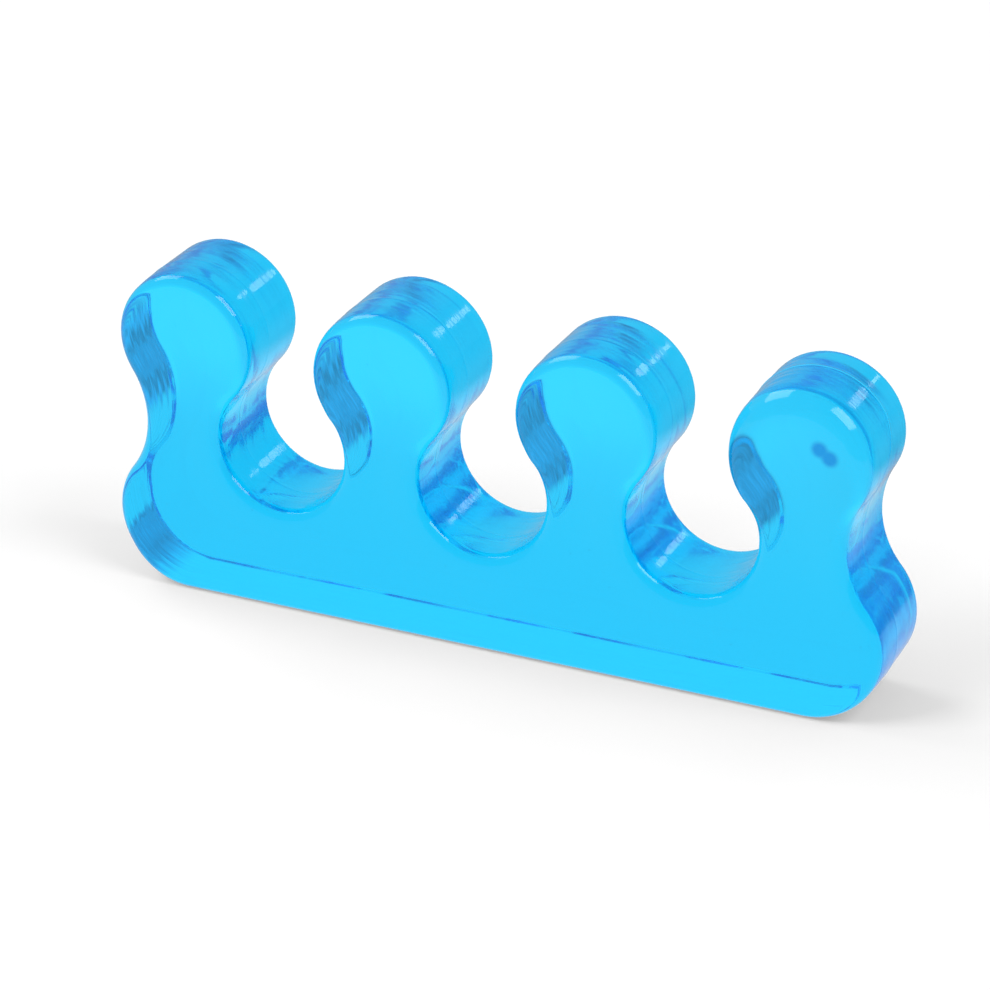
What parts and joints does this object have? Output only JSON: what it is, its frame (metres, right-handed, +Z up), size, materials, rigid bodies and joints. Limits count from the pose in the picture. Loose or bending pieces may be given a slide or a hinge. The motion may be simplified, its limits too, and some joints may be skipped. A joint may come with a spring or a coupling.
{
  "type": "toe separator",
  "caption": "One-piece soft gel comb with round-headed posts and round toe channels on a low flat foot bar.",
  "frame": {"origin": "middle of the foot bar's flat underside, which is the bottom centre of the whole part", "axes": "+X along the row of posts, from the first and tallest post to the last; +Y from the front face to the back face, through the thickness; +Z up, from the foot bar to the post heads"},
  "size_m": [0.0874, 0.012, 0.0366],
  "materials": {
    "blue_gel": "clear sky-blue silicone gel with a soft wet gloss, faintly wavy cast faces and a fine parting line round the side walls"
  },
  "bodies": {
    "root": {"gel_comb": "blue_gel"}
  },
  "joints": []
}
